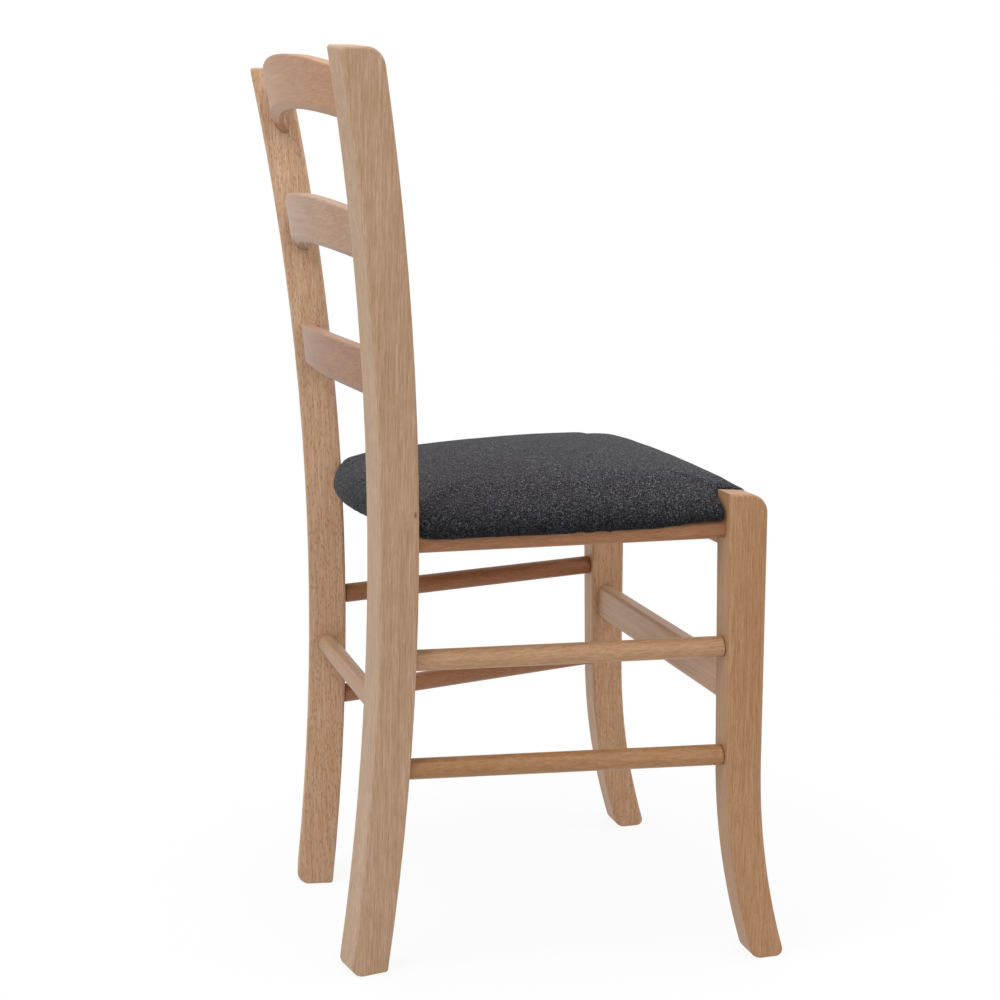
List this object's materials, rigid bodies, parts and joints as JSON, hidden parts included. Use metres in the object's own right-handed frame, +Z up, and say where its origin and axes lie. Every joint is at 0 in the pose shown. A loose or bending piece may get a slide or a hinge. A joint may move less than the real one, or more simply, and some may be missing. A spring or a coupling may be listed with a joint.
{
  "type": "dining_chair",
  "caption": "Ladder-back dining chair in natural beech with bowed, splayed rear posts, curved slats, round stretchers and a domed charcoal fabric seat",
  "frame": {"origin": "centre of the bounding box in plan, on the floor", "axes": "+Z up, the sitter faces -Y, +X is the sitter's left"},
  "size_m": [0.4716, 0.4591, 0.8812],
  "materials": {
    "beech": "clear satin varnish on natural beech",
    "plywood": "unfinished plywood",
    "foam": "open-cell upholstery foam",
    "cover_fabric": "charcoal melange weave",
    "steel_wire": "bright zinc-plated steel"
  },
  "bodies": {
    "root": {"rear_post_right": "beech", "rear_post_left": "beech", "front_leg_right": "beech", "front_leg_left": "beech", "top_slat": "beech", "middle_slat": "beech", "bottom_slat": "beech", "side_seat_rail_right": "beech", "side_seat_rail_left": "beech", "front_seat_rail": "beech", "rear_seat_rail": "beech", "upper_stretcher_right": "beech", "upper_stretcher_left": "beech", "lower_stretcher_right": "beech", "lower_stretcher_left": "beech", "rear_stretcher": "beech", "front_stretcher": "beech", "seat_board": "plywood", "seat_foam": "foam", "seat_cover": "cover_fabric", "cover_staples": "steel_wire", "seat_screws": "steel_wire"}
  },
  "joints": []
}
